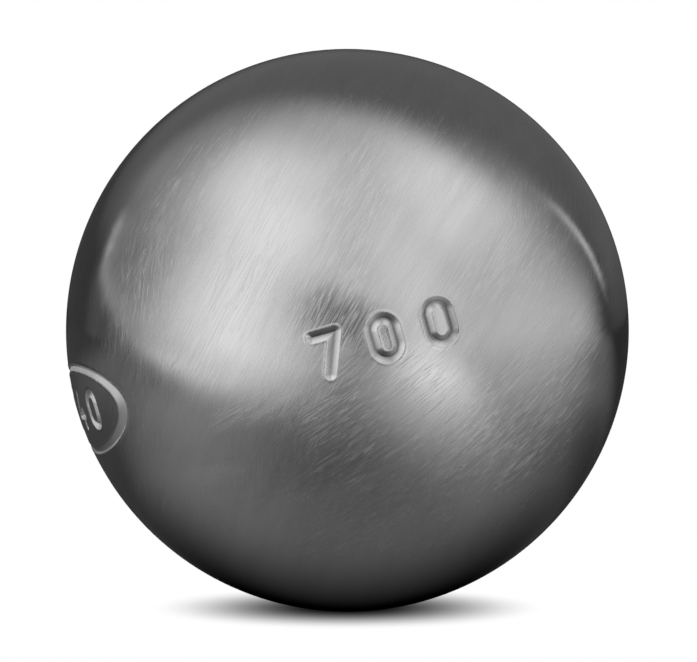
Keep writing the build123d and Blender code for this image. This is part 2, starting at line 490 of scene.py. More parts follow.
def turn_piece(name, profile):
    """Turn a profile into a closed piece with its faces outwards."""
    profile_line = add_lines(f"{name}_profile", [profile])
    piece = add_object(name, bpy.data.meshes.new(name))
    values = {
        "profile": profile_line,
        "segments": bpy.context.scene.boule_shell.segments,
        "ball_radius": BALL_RADIUS,
        "hollow_radius": HOLLOW_RADIUS,
        "outside": shared_material(brushed_steel, BRUSHED_STEEL),
        "inside": shared_material(forge_scale, FORGE_SCALE),
        "joint": shared_material(turned_steel, TURNED_STEEL),
    }
    run_tree(piece, shared_tree(turned_shell_tree, "Turned shell"), values)
    remove_object(profile_line)
    shape = bmesh.new()
    shape.from_mesh(piece.data)
    bmesh.ops.recalc_face_normals(shape, faces=shape.faces)
    if not all(edge.is_manifold for edge in shape.edges):
        raise RuntimeError(f"{name} isn't closed")
    if shape.calc_volume(signed=True) < 0:
        bmesh.ops.reverse_faces(shape, faces=shape.faces)
    shape.to_mesh(piece.data)
    shape.free()
    return piece


def read_values(items, field, parts=1, kind=float):
    """One field of all items as an array, in rows where the field has several parts."""
    values = np.empty(len(items) * parts, kind)
    items.foreach_get(field, values)
    return values if parts == 1 else values.reshape(-1, parts)


def dress_normals(piece):
    """Give the plain ball its true normals, marks their own, and joint faces flat ones."""
    mesh = piece.data
    mesh.polygons.foreach_set("use_smooth", [True] * len(mesh.polygons))
    mesh.set_sharp_from_angle(angle=radians(SHARP_ANGLE))
    own = read_values(mesh.corner_normals, "vector", 3)
    point = read_values(mesh.loops, "vertex_index", kind=int)
    face = np.repeat(np.arange(len(mesh.polygons)), read_values(mesh.polygons, "loop_total", kind=int))
    places = read_values(mesh.vertices, "co", 3)
    radial = (places / np.linalg.norm(places, axis=1, keepdims=True))[point]
    plain = np.ones(len(point), bool)
    if "stamp_height" in mesh.attributes:
        plain = read_values(mesh.attributes["stamp_height"].data, "value")[point] == 0
    names = [material.name for material in mesh.materials]
    finish = read_values(mesh.polygons, "material_index", kind=int)[face]
    normals = read_values(mesh.polygons, "normal", 3)[face]
    outside = finish == names.index(BRUSHED_STEEL)
    normals[outside] = np.where(plain[:, None], radial, own)[outside]
    if FORGE_SCALE in names:
        inside = finish == names.index(FORGE_SCALE)
        normals[inside] = -radial[inside]
    mesh.normals_split_custom_set(normals.tolist())


def axes_at(azimuth, elevation, tilt=0.0, along=0.0):
    """Rightward, upward and outward directions at a place on the ball, moved along its line of writing."""
    outward = Vector((sin(azimuth) * cos(elevation), -cos(azimuth) * cos(elevation), sin(elevation)))
    east = Vector((cos(azimuth), sin(azimuth), 0.0))
    writing = east * cos(tilt) + outward.cross(east) * sin(tilt)
    step = along / BALL_RADIUS
    there = outward * cos(step) + writing * sin(step)
    writing = writing * cos(step) - outward * sin(step)
    return writing, there.cross(writing), there


def on_ball(axes, points):
    """Points of a mark's plane, dropped straight onto the ball."""
    writing, upward, outward = axes
    return [
        writing * x + upward * y + outward * sqrt(BALL_RADIUS**2 - x * x - y * y) for x, y in points
    ]


def digit_strokes(digit, wide, high):
    """Middle lines of a digit's strokes, from half its width and half its height.

    Two points are a straight stroke and three are an arc. Bowls are round, with half the width as radius.
    """
    bowl = high - wide
    waist = wide - bowl
    top_bowl = [(-wide, bowl), (0, high), (wide, bowl)]
    low_bowl = [(wide, -bowl), (0, -high), (-wide, -bowl)]
    left_side = [(-wide, -bowl), (-wide, bowl)]
    right_side = [(wide, bowl), (wide, -bowl)]
    top_bar = [(-wide, high), (wide, high)]
    low_right_bowl = [(0, waist), (wide, -bowl), (0, -high)]
    low_tail = [(0, -high), (-wide, -high)]
    return {
        "0": [top_bowl, right_side, low_bowl, left_side],
        "1": [[(-wide, bowl), (0, high)], [(0, high), (0, -high)]],
        "2": [top_bowl, [(wide, bowl), (-wide, -high)], [(-wide, -high), (wide, -high)]],
        "3": [top_bar, [(wide, high), (0, waist)], low_right_bowl, low_tail],
        "4": [
            [(0, high), (-wide, -bowl)],
            [(-wide, -bowl), (wide, -bowl)],
            [(wide / 2, 0), (wide / 2, -high)],
        ],
        "5": [
            top_bar,
            [(-wide, high), (-wide, waist)],
            [(-wide, waist), (0, waist)],
            low_right_bowl,
            low_tail,
        ],
        "6": [top_bowl, left_side, low_bowl, [(wide, -bowl), (0, waist), (-wide, -bowl)]],
        "7": [top_bar, [(wide, high), (-wide / 3, -high)]],
        "8": [
            [(-bowl, wide), (0, high), (bowl, wide)],
            [(bowl, wide), (0, waist), (-bowl, wide)],
            [(-wide, -bowl), (0, waist), (wide, -bowl)],
            low_bowl,
        ],
        "9": [top_bowl, right_side, low_bowl, [(-wide, bowl), (0, -waist), (wide, bowl)]],
    }[digit]


# Distance between the points that a stroke's middle line is drawn with
STROKE_STEP = 0.12 * MM


def stroke_points(line):
    """Points along a stroke: two points make it straight, and three make it an arc."""
    if len(line) == 2:
        (x0, y0), (x1, y1) = line
        shares = np.linspace(0, 1, ceil(sqrt((x1 - x0) ** 2 + (y1 - y0) ** 2) / STROKE_STEP) + 1)
        return [(x0 + (x1 - x0) * share, y0 + (y1 - y0) * share) for share in shares]
    start, middle, end = (complex(*point) for point in line)
    ratio = (end - start) / (middle - start)
    centre = (middle - start) * (ratio - abs(ratio) ** 2) / (2j * ratio.imag) + start
    way = phase((middle - centre) / (start - centre))
    sweep = phase((end - centre) / (start - centre)) % (2 * pi)
    if way < 0:
        sweep -= 2 * pi
    count = ceil(abs(sweep) * abs(start - centre) / STROKE_STEP)
    turns = [sweep * index / count for index in range(count + 1)]
    arc = [centre + (start - centre) * complex(cos(turn), sin(turn)) for turn in turns]
    return [(point.real, point.imag) for point in arc]


def figure_lines(mark):
    """Middle lines of a figure's strokes on the ball, each digit square to the ball at its own place."""
    wide, high = (mark.digit_width - mark.stroke) / 2, (mark.digit_height - mark.stroke) / 2
    lines = []
    for index, digit in enumerate(mark.figure):
        along = (index - (len(mark.figure) - 1) / 2) * mark.pitch
        axes = axes_at(mark.azimuth, mark.elevation, mark.tilt, along)
        lines += [on_ball(axes, stroke_points(line)) for line in digit_strokes(digit, wide, high)]
    return lines


def nearest_tree(lines):
    """Search tree over the points of lines."""
    points = [point for line in lines for point in line]
    tree = KDTree(len(points))
    for index, point in enumerate(points):
        tree.insert(point, index)
    tree.balance()
    return tree


# How far from the outer edge of a mark's burr the faces of the ball are halved, one value for each time.
# The last one lies inside that edge
REFINE_REACH = (2.0 * MM, 0.8 * MM, 0.22 * MM, -0.17 * MM)


def refine_marks(piece, walls):
    """Halve the faces of the ball again and again near the marks, so that their walls come out round."""
    searches = [(nearest_tree(lines), reach) for lines, reach in walls]
    shape = bmesh.new()
    shape.from_mesh(piece.data)
    kind = piece.data.materials.find(BRUSHED_STEEL)
    for reach in REFINE_REACH:
        edges = set()
        for face in shape.faces:
            if face.material_index == kind:
                middle = face.calc_center_median()
                if min(tree.find(middle)[2] - wall for tree, wall in searches) < reach:
                    edges.update(face.edges)
        before = len(shape.verts)
        bmesh.ops.subdivide_edges(shape, edges=list(edges), cuts=1, use_grid_fill=True)
        shape.verts.ensure_lookup_table()
        for corner in shape.verts[before:]:
            corner.co *= BALL_RADIUS / corner.co.length
    shape.to_mesh(piece.data)
    shape.free()


def press_marks(piece):
    """Press the weight figure, the diameter figure and its oval ring into the front half-shell."""
    scene = bpy.context.scene
    weight, size = scene.boule_weight, scene.boule_size
    weight_lines, size_lines = figure_lines(weight), figure_lines(size)
    axes = axes_at(size.azimuth, size.elevation, size.tilt)
    long, high = (size.oval_length - size.end_stroke) / 2, (size.oval_height - size.side_stroke) / 2
    turns = np.linspace(0, 2 * pi, ceil(2 * pi * long / STROKE_STEP))
    ring_line = on_ball(axes, [(long * cos(turn), high * sin(turn)) for turn in turns])
    strokes = ((weight_lines, weight.stroke), (size_lines, size.stroke), ([ring_line], size.end_stroke))
    refine_marks(piece, [(lines, stroke / 2 + scene.boule_punch.rim_width) for lines, stroke in strokes])
    helpers = [add_lines("weight_lines", weight_lines), add_lines("size_lines", size_lines)]
    values = {
        "outside": bpy.data.materials[BRUSHED_STEEL],
        "weight_lines": helpers[0],
        "size_lines": helpers[1],
        "weight_upward": axes_at(weight.azimuth, weight.elevation, weight.tilt)[1],
        "size_writing": axes[0],
        "size_upward": axes[1],
        "ball_radius": BALL_RADIUS,
    }
    for group, before, fields in MARK_SIZES:
        values.update({before + field: getattr(getattr(scene, group), field) for field in fields})
    run_tree(piece, shared_tree(stamped_marks_tree, "Stamped marks"), values)
    for helper in helpers:
        remove_object(helper)


def shared_material(make, name):
    """The material of that name, whose shader is laid out when it is first asked for."""
    material = bpy.data.materials.get(name)
    if not material:
        material = bpy.data.materials.new(name)
        material.use_nodes = True
        material.node_tree.nodes.clear()
        surface = {"Surface": make(material.node_tree)}
        add_node(material.node_tree, "ShaderNodeOutputMaterial", surface)
    return material


def glow_material(make, name):
    """A shared material that glows in mirrors and to the camera, and is no lamp."""
    material = shared_material(make, name)
    material.cycles.emission_sampling = "NONE"
    return material


def add_metal(tree, colour, rough, height, bump=1.0, **more):
    """Add a metal shader with a bump of a height."""
    normal = add_value(tree, "ShaderNodeBump", {"Strength": bump, "Distance": 1.0, "Height": height})
    inputs = {"Base Color": colour, "Metallic": 1.0, "Roughness": rough, "Normal": normal, **more}
    return add_value(tree, "ShaderNodeBsdfPrincipled", inputs)


def add_noise(tree, place, scale, detail, roughness=0.5):
    """Add noise from 0 to 1."""
    inputs = {"Vector": place, "Scale": scale, "Detail": detail, "Roughness": roughness}
    return add_value(tree, "ShaderNodeTexNoise", inputs)


def camera_axes():
    """Rightward, upward and backward directions of the camera."""
    stage = bpy.context.scene.boule_stage
    return axes_at(stage.azimuth, stage.elevation)


def stroke_turn(slope, lean):
    """Turn that lays a pattern's Z axis across lines of a slope and lean, as the camera sees them."""
    right, up, back = camera_axes()
    slope, lean = radians(slope), radians(lean)
    across = up * cos(slope) - right * sin(slope)
    return (across * cos(lean) + back * sin(lean)).to_track_quat("Z", "Y").to_euler()


def seen_direction(middle):
    """Direction in the ball's frame, from its parts to the right, up and back as seen from the camera."""
    right, up, back = camera_axes()
    return tuple((right * middle[0] + up * middle[1] + back * middle[2]).normalized())


# Roughness of the noise that streaks are drawn with
STREAK_ROUGHNESS = 0.6


def streaks(tree, place, turn, length, width, seed, detail=2.0):
    """Noise drawn out along circles about an axis, from 0 to 1."""
    inputs = {"Rotation": turn, "Scale": (length, length, width), "Location": (seed, seed, 0.0)}
    mapped = add_value(tree, "ShaderNodeMapping", {"Vector": place, **inputs}, vector_type="TEXTURE")
    return add_noise(tree, mapped, 1.0, detail, STREAK_ROUGHNESS)


# Names of the finishes
BRUSHED_STEEL = "brushed_steel"
TURNED_STEEL = "turned_steel"
FORGE_SCALE = "forge_scale"

# Strokes of the hand brush, laid over each other in this order, as seen from the camera: slope and lean
# of the lines in degrees, direction that the strokes are laid on from, how wide they spread, share of the
# lines below that they wipe out, and strength
BRUSH_STROKES = (
    (58.0, 10.0, (0.0, 0.0, -1.0), (-2.0, -1.0), 1.0, 0.6),
    (61.0, -28.0, (-0.62, 0.45, 0.64), (-0.10, 0.60), 0.75, 0.25),
    (84.0, -8.0, (-0.50, -0.60, 0.60), (0.35, 0.90), 0.75, 1.0),
    (67.0, 16.0, (0.85, 0.15, 0.50), (0.20, 0.80), 0.75, 0.8),
    (62.0, -4.0, (0.0, 0.15, 0.98), (0.45, 0.90), 0.75, 0.8),
    (40.0, 18.0, (0.48, -0.62, 0.62), (0.50, 0.90), 0.75, 1.1),
    (30.0, 18.0, (0.0, -1.0, 0.1), (0.55, 0.85), 1.0, 0.05),
)

# Middle level of a noise, and of the brush lines that are drawn from it
MIDDLE = 0.5

# Step from line to line and half width of a line's sharp crest, both as shares of the noise that lays
# them, how much the crests and the swells between them are raised, and how far the ground is sunk for it
LINE_STEP, LINE_CREST, CREST_SHARE, SWELL_SHARE, GROUND_SHARE = 0.08, 0.03, 0.9, 0.3, 0.22

# Ragged ends of the brush strokes: length and width of the rags, and how far they reach
RAG_SIZE, RAG_REACH = (22 * MM, 5 * MM), 1.2

# Stray hairlines, as seen from the camera: slope and lean of the lines in degrees, and length and width
HAIRLINES = (
    (41.0, 16.0, 4.0 * MM, 0.16 * MM),
    (33.0, 9.0, 3.0 * MM, 0.16 * MM),
)

# The directions that the hairlines lie in and how wide they spread, the levels of their noise that are a
# line's edge and its full depth, and their roughness
HAIRLINES_MIDDLES, HAIRLINES_SPREAD = ((0.30, -0.42, 0.86), (0.22, 0.92, 0.33)), (0.80, 0.97)
HAIRLINES_LEVELS, HAIRLINES_ROUGHNESS = (0.72, 0.85), 0.3

# Smudges along the brush lines: slope and lean in degrees, length and width, and share of the colour
SMUDGE_TURN, SMUDGE_SIZE, SMUDGE_TONE = (62.0, -8.0), (14 * MM, 2 * MM), 0.2

# Shifts of the noises, so that no two of them are alike: first ones, and steps from stroke to stroke
BRUSH_STEP, RAG_SEED, RAG_STEP = 0.11, 0.71, 0.13
HAIRLINES_SEED, HAIRLINES_STEP, SMUDGE_SEED = 0.53, 0.17, 2.3

# Where the brush lines end at a groove's edge, as shares of its depth, what is left of them inside it, and
# the share of the colour that painted shade takes in its bottom
GROOVE_EDGE, GROOVE_LINES, GROOVE_PAINTED_SHADE = (0.05, 0.25), 0.15, 0.6

# Share of the depth at which the walls of the oval mark have their full dull skin, and how much paler it is
DULL_EDGE, DULL_TONE = 0.2, 0.5

# Brushed steel is glossier at a glance: from which to which slant, and the share of its roughness that goes
GLANCE_SLANT, GLANCE_GLOSS = (0.35, 0.65), 0.65


def brush_lines(tree, place, steel):
    """Height of brush lines about a middle level, in strokes that lie over each other, and their direction.

    The direction is the one across the lines. A strong line may rise above 1.
    """
    outward = add_vector(tree, "NORMALIZE", place)
    line_size = steel.brush_length, steel.brush_width
    lines, across = MIDDLE, (0.0, 0.0, 1.0)
    for index, (slope, lean, middle, (low, high), cover, strength) in enumerate(BRUSH_STROKES):
        turn = stroke_turn(slope, lean)
        fresh = streaks(tree, place, turn, *line_size, BRUSH_STEP * index, detail=1.0)
        swell = add_math(tree, "SUBTRACT", fresh, MIDDLE)
        crest = add_range(tree, add_math(tree, "PINGPONG", fresh, LINE_STEP), LINE_CREST, 0.0)
        ground = MIDDLE - GROUND_SHARE * strength
        crest = add_math(tree, "MULTIPLY_ADD", crest, strength * CREST_SHARE, ground)
        fresh = add_math(tree, "MULTIPLY_ADD", swell, strength * SWELL_SHARE, crest)
        nearness = add_vector(tree, "DOT_PRODUCT", outward, seen_direction(middle))
        rags = streaks(tree, place, turn, *RAG_SIZE, RAG_SEED + RAG_STEP * index)
        rags = add_math(tree, "MULTIPLY_ADD", rags, RAG_REACH, -RAG_REACH / 2)
        nearness = add_math(tree, "ADD", nearness, rags)
        covered = add_range(tree, nearness, low, high, end=cover, smooth=True)
        lines = add_math(tree, "MULTIPLY_ADD", add_math(tree, "SUBTRACT", fresh, lines), covered, lines)
        change = add_vector(tree, "SUBTRACT", tuple(turn.to_matrix() @ Vector((0.0, 0.0, 1.0))), across)
        across = add_vector(tree, "MULTIPLY_ADD", change, covered, across)
    return lines, across


def stray_hairlines(tree, place):
    """Stray hairlines from 0 to 1."""
    found = 0.0
    for index, (slope, lean, length, width) in enumerate(HAIRLINES):
        seed = HAIRLINES_SEED + HAIRLINES_STEP * index
        fine = streaks(tree, place, stroke_turn(slope, lean), length, width, seed, detail=0.0)
        found = add_math(tree, "MAXIMUM", add_range(tree, fine, *HAIRLINES_LEVELS), found)
    outward, nearness = add_vector(tree, "NORMALIZE", place), -1.0
    for middle in HAIRLINES_MIDDLES:
        here = add_vector(tree, "DOT_PRODUCT", outward, seen_direction(middle))
        nearness = add_math(tree, "MAXIMUM", here, nearness)
    return add_math(tree, "MULTIPLY", found, add_range(tree, nearness, *HAIRLINES_SPREAD))


def brushed_steel(tree):
    """Bare steel brushed by hand in long soft strokes, with stray hairlines and duller stamped grooves."""
    steel = bpy.context.scene.boule_steel
    place = add_value(tree, "ShaderNodeTexCoord", output="Object")
    lines, across = brush_lines(tree, place, steel)
    hairlines = stray_hairlines(tree, place)
    sunk = add_value(tree, "ShaderNodeAttribute", output="Fac", attribute_name="groove_wall")
    plain = add_range(tree, sunk, *GROOVE_EDGE, 1.0, GROOVE_LINES)
    height = add_math(tree, "MULTIPLY", lines, steel.brush_height)
    height = add_math(tree, "MULTIPLY_ADD", hairlines, -steel.scratch_depth, height)
    height = add_math(tree, "MULTIPLY", height, plain)
    slant = add_value(tree, "ShaderNodeLayerWeight", {"Blend": 0.5}, "Facing")
    matt = add_range(tree, slant, *GLANCE_SLANT, 1.0, 1.0 - GLANCE_GLOSS, smooth=True)
    smudge = streaks(tree, place, stroke_turn(*SMUDGE_TURN), *SMUDGE_SIZE, SMUDGE_SEED)
    tone = add_math(tree, "MULTIPLY_ADD", smudge, SMUDGE_TONE, 1.0 - SMUDGE_TONE / 2)
    tone = add_math(tree, "MULTIPLY_ADD", add_math(tree, "SUBTRACT", lines, MIDDLE), steel.brush_tone, tone)
    dull = add_value(tree, "ShaderNodeAttribute", output="Fac", attribute_name="dull_wall")
    dull = add_range(tree, dull, 0.0, DULL_EDGE)
    # Painted shade: the colour of the weight figure's grooves darkens towards their bottom, in place of the
    # shade there
    painted_groove_shade = add_math(tree, "MULTIPLY", sunk, sunk)
    painted_groove_shade = add_math(tree, "MULTIPLY", painted_groove_shade, add_math(tree, "SUBTRACT", 1.0, dull))
    tone = add_math(tree, "MULTIPLY", tone, add_math(tree, "MULTIPLY_ADD", painted_groove_shade, -GROOVE_PAINTED_SHADE, 1.0))
    tone = add_math(tree, "MULTIPLY_ADD", dull, DULL_TONE, tone)
    colour = add_vector(tree, "MULTIPLY", tuple(steel.colour), tone)
    rough = add_math(tree, "MULTIPLY", add_math(tree, "POWER", lines, 2.0), steel.brush_roughness)
    rough = add_math(tree, "MAXIMUM", rough, add_math(tree, "MULTIPLY", hairlines, HAIRLINES_ROUGHNESS))
    rough = add_math(tree, "MULTIPLY_ADD", rough, plain, steel.roughness)
    rough = add_math(tree, "MULTIPLY", rough, matt)
    rough = add_math(tree, "MULTIPLY_ADD", dull, steel.dull_roughness, rough)
    return add_metal(tree, colour, rough, height, matt, Anisotropic=steel.brush_spread, Tangent=across)


# Rings of the turning tool: length and width, height, roughness that they add and roughness between them
RING_SIZE, RING_HEIGHT, RING_ROUGHNESS = (30 * MM, 0.1 * MM), 0.01 * MM, (0.15, 0.22)
TURNED_COLOUR = (0.55, 0.55, 0.56, 1.0)


def turned_steel(tree):
    """Bright steel of the joint faces, with the fine rings of the turning tool."""
    place = add_value(tree, "ShaderNodeTexCoord", output="Object")
    rings = streaks(tree, place, (pi / 2, 0.0, 0.0), *RING_SIZE, 0.0)
    rough = add_math(tree, "MULTIPLY_ADD", rings, *RING_ROUGHNESS)
    return add_metal(tree, TURNED_COLOUR, rough, add_math(tree, "MULTIPLY", rings, RING_HEIGHT))


# Flakes of the forge scale: size, levels of their noise from ground to flake, shift, and colours of both
FLAKE_SIZE, FLAKE_LEVELS, FLAKE_SHIFT = 4 * MM, (0.35, 0.65), (1.1, -1.1, 1.1)
SCALE_COLOURS = {"A": (0.05, 0.048, 0.047, 1.0), "B": (0.12, 0.11, 0.105, 1.0)}

# Grain of the scale: size, share of the height, height of both, roughness as for the rings, and metal
GRAIN_SIZE, GRAIN_SHARE, SCALE_HEIGHT = 0.6 * MM, 0.5, 0.06 * MM
GRAIN_ROUGHNESS, SCALE_METAL = (0.2, 0.55), 0.6


def forge_scale(tree):
    """Dark rough scale that forging leaves on the inside of the shells."""
    place = add_value(tree, "ShaderNodeTexCoord", output="Object")
    shifted = add_value(tree, "ShaderNodeMapping", {"Vector": place, "Location": FLAKE_SHIFT})
    flakes = add_range(tree, add_noise(tree, shifted, 1 / FLAKE_SIZE, detail=2.0), *FLAKE_LEVELS, smooth=True)
    grain = add_noise(tree, place, 1 / GRAIN_SIZE, detail=3.0)
    colours = {"Factor": flakes, **SCALE_COLOURS}
    mixed = add_value(tree, "ShaderNodeMix", colours, "Result", data_type="RGBA")
    height = add_math(tree, "MULTIPLY_ADD", grain, GRAIN_SHARE, flakes)
    height = add_math(tree, "MULTIPLY", height, SCALE_HEIGHT)
    rough = add_math(tree, "MULTIPLY_ADD", grain, *GRAIN_ROUGHNESS)
    return add_metal(tree, mixed, rough, height, Metallic=SCALE_METAL)


def place_piece(piece, node):
    """Let a finished piece stand for its CAD node on the ball's body."""
    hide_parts(node)
    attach(piece, "root")


class BOULE_OT_front_half_shell(bpy.types.Operator):
    """Turn the front half-shell and press the marks into it"""

    bl_idname = "boule.front_half_shell"
    bl_label = "Front Half-Shell"

    def execute(self, context):
        piece = turn_piece("stamped_front_shell", shell_profile(-1, REBATE_RADIUS, REBATE_DEPTH))
        press_marks(piece)
        dress_normals(piece)
        place_piece(piece, "front_half_shell")
        return {"FINISHED"}


class BOULE_OT_rear_half_shell(bpy.types.Operator):
    """Turn the rear half-shell with its centring lip"""

    bl_idname = "boule.rear_half_shell"
    bl_label = "Rear Half-Shell"

    def execute(self, context):
        piece = turn_piece("lipped_rear_shell", shell_profile(1, LIP_RADIUS, LIP_LENGTH))
        dress_normals(piece)
        place_piece(piece, "rear_half_shell")
        return {"FINISHED"}


class BOULE_OT_weld_bead(bpy.types.Operator):
    """Turn the weld bead flush with the ball"""

    bl_idname = "boule.weld_bead"
    bl_label = "Weld Bead"

    def execute(self, context):
        piece = turn_piece("flush_weld_ring", weld_profile())
        dress_normals(piece)
        place_piece(piece, "weld_bead")
        return {"FINISHED"}


# Cloths, soft boxes and dark flags of the light tent, laid over each other in this order: azimuth from
# the camera to the right, elevation, turn, half width, half height, feather of the sides and of the
# ends, all in degrees, and brightness
TENT_PANELS = (
    ("front cloth", 0, 10, 0, 93, 52, 60, 40, 0.72),
    ("crown cloth", 0, 85, -15, 30, 17, 40, 20, 0.62),
    ("left side cloth", -115, 45, 0, 17, 20, 20, 20, 0.33),
    ("left upper cloth", -58, 58, 5, 20, 17, 30, 25, 1.25),
    ("right upper cloth", 57, 54, 15, 18, 18, 20, 22, 1.15),
    ("middle gap", 2, 60, 0, 18, 6, 20, 12, 0.78),
    ("left soft box", -45, 15, -10, 18, 40, 30, 30, 1.42),
    ("right soft box", 28, 10, 5, 10, 40, 15, 25, 1.10),
    ("right streak", 70, 43, 25, 18, 3, 15, 8, 1.10),
    ("right side cloth", 85, -5, 0, 28, 15, 30, 20, 0.85),
    ("lens opening", -2, 10, -20, 15, 9, 18, 12, 0.04),
    ("left gap", -84, 30, 0, 5, 10, 18, 18, 0.36),
    ("right back cloth", 150, 12, 0, 22, 14, 25, 20, 0.13),
    ("left low flag", -110, -8, -20, 45, 10, 20, 5, 0.10),
    ("left back flag", -147, 2, 0, 20, 9, 10, 6, 0.05),
    ("left inner cloth", -104, 15, 0, 18, 9, 6, 10, 0.23),
    ("right tent edge", 122, 16, -64, 12, 1.4, 12, 2, 0.75),
    ("left tent edge", -122.5, 14, -70, 6, 1.2, 6, 1.5, 1.10),
    ("left tent foot", -111, 6, -22, 11, 2, 6, 2, 0.45),
)

# Brightness of the tent's back and of its foot, and the elevations in degrees between which it changes
TENT_BACK, TENT_BACK_FOOT, TENT_BACK_RISE = 0.15, 0.03, (0, 25)

# Points of the light tent from foot to crown, and round it
TENT_ROWS, TENT_COLUMNS = 121, 240

# Sheets that lie on the base board: place to the right and towards the camera, turn in degrees, half
# width, half depth and feather, all in ball radii but the turn, and brightness
BOARD_SHEETS = (
    ("left back sheet", -6, -6, 45, 6, 4, 4, 0.055),
    ("left side sheet", -8, 0, 0, 5, 3, 5, 0.18),
    ("left near sheet", -1.8, 2.5, 0, 1.5, 2, 2, 0.42),
    ("left sheet", -9, 6.9, 12, 9, 5.7, 2, 1.1),
    ("right back sheet", 7.9, -4.1, -40, 6, 1.8, 2.4, 0.17),
    ("right side sheet", 9, 3, -20, 6.3, 4.5, 4, 0.55),
    ("right sheet", 3.2, 6.2, 45, 4.9, 1.9, 2, 1.6),
    ("middle shade", -0.2, 7, 0, 1.5, 6.5, 4, 0.12),
    ("near shade", -0.1, 1.5, 0, 0.5, 0.4, 1, 0.12),
)

# Brightness of the bare board, and the bearings in degrees between which it falls to that of the tent's foot
BOARD_LEVEL, BOARD_SIDE = 0.17, (30, 110)

# The ball's own shade painted on the board: distances in ball radii between which it ends, and how much of
# the distance to the side counts
BOARD_FOOT, BOARD_FOOT_SIDE = (0.2, 0.9), 0.6

# Rings of points on the board: the first two in ball radii, how many there are from the second on, and how
# high the board lies over the floor
BOARD_RINGS, BOARD_ROWS, BOARD_LIFT = (0.001, 0.1), 80, 0.02 * MM


def soft_step(value, low, high):
    """0 below low, 1 above high, and a smooth rise between."""
    share = np.clip((value - low) / (high - low), 0.0, 1.0)
    return share * share * (3 - 2 * share)


def soft_within(value, reach, feather):
    """1 within a reach on either side of 0 and 0 beyond it, with feathered edges."""
    return 1 - soft_step(np.abs(value), reach - feather / 2, reach + feather / 2)


def tent_radiance(directions):
    """Brightness of the light tent in directions of the camera's own frame: right, away, up."""
    rise = np.degrees(np.arcsin(np.clip(directions[..., 2], -1.0, 1.0)))
    light = TENT_BACK_FOOT + (TENT_BACK - TENT_BACK_FOOT) * soft_step(rise, *TENT_BACK_RISE)
    for _, azimuth, elevation, turn, wide, high, side, end, level in TENT_PANELS:
        along, across, outward = axes_at(radians(azimuth), radians(elevation), radians(turn))
        u = np.degrees(np.arctan2(directions @ np.array(along), directions @ np.array(outward)))
        v = np.degrees(np.arcsin(np.clip(directions @ np.array(across), -1.0, 1.0)))
        light = light + (level - light) * soft_within(u, wide, side) * soft_within(v, high, end)
    return light


def board_radiance(span, turn):
    """Brightness of the base board, by distance from the ball's foot in ball radii and by bearing."""
    light = BOARD_LEVEL + (TENT_BACK_FOOT - BOARD_LEVEL) * soft_step(np.abs(np.degrees(turn)), *BOARD_SIDE)
    right, near = span * np.sin(turn), span * np.cos(turn)
    for _, x, y, lean, wide, deep, feather, level in BOARD_SHEETS:
        c, s = cos(radians(lean)), sin(radians(lean))
        u, v = (right - x) * c + (near - y) * s, (near - y) * c - (right - x) * s
        light = light + (level - light) * soft_within(u, wide, feather) * soft_within(v, deep, feather)
    # Painted shade: the board's brightness falls towards the ball's foot
    return light * soft_step(np.hypot(right * BOARD_FOOT_SIDE, near), *BOARD_FOOT)


def grid_faces(rows, columns):
    """Faces of a grid of points that closes on itself round the columns."""
    return [
        (row * columns + column, row * columns + (column + 1) % columns,
         (row + 1) * columns + (column + 1) % columns, (row + 1) * columns + column)
        for row in range(rows - 1)
        for column in range(columns)
    ]


def tent_glow(tree):
    """Light with the brightness that is kept at every point."""
    level = add_value(tree, "ShaderNodeAttribute", output="Fac", attribute_name="radiance")
    return add_value(tree, "ShaderNodeEmission", {"Strength": level})


def add_glow(name, points, radiance):
    """A grid of points that only mirrors see, with its own brightness at every point."""
    mesh = bpy.data.meshes.new(name)
    mesh.from_pydata(points.reshape(-1, 3).tolist(), [], grid_faces(*radiance.shape))
    mesh.attributes.new("radiance", "FLOAT", "POINT").data.foreach_set("value", radiance.ravel())
    mesh.materials.append(glow_material(tent_glow, "tent_glow"))
    obj = add_object(name, mesh)
    for ray in ("camera", "diffuse", "transmission", "volume_scatter", "shadow"):
        setattr(obj, f"visible_{ray}", False)


def add_tent(settings):
    """Light tent over the ball and base board round its foot, as the steel mirrors them."""
    facing = np.array(Matrix.Rotation(settings.azimuth, 3, "Z")).T
    turns = np.linspace(-pi, pi, TENT_COLUMNS, endpoint=False)
    rise, turn = np.meshgrid(np.linspace(-pi / 2, pi / 2, TENT_ROWS), turns, indexing="ij")
    flat = np.stack([np.cos(rise) * np.sin(turn), -np.cos(rise) * np.cos(turn), np.sin(rise)], -1)
    add_glow("light_tent", settings.tent_radius * flat @ facing, tent_radiance(flat))
    foot, first = BOARD_RINGS
    spans = np.geomspace(first, settings.tent_radius / BALL_RADIUS, BOARD_ROWS)
    span, turn = np.meshgrid(np.concatenate([[foot], spans]), turns, indexing="ij")
    height = np.full_like(span, BOARD_LIFT / BALL_RADIUS - 1)
    points = BALL_RADIUS * np.stack([span * np.sin(turn), -span * np.cos(turn), height], -1) @ facing
    add_glow("base_board", points, board_radiance(span, turn))


# Half side of the floor, its colour in other light than the camera's, and the painted soft shadow round the
# ball's
# foot: where it starts to fade, and with which power
FLOOR_HALF_SIDE, FLOOR_COLOUR = 3.0, (0.9, 0.9, 0.9, 1.0)
SHADOW_START, SHADOW_POWER = 1 * MM, 1.8


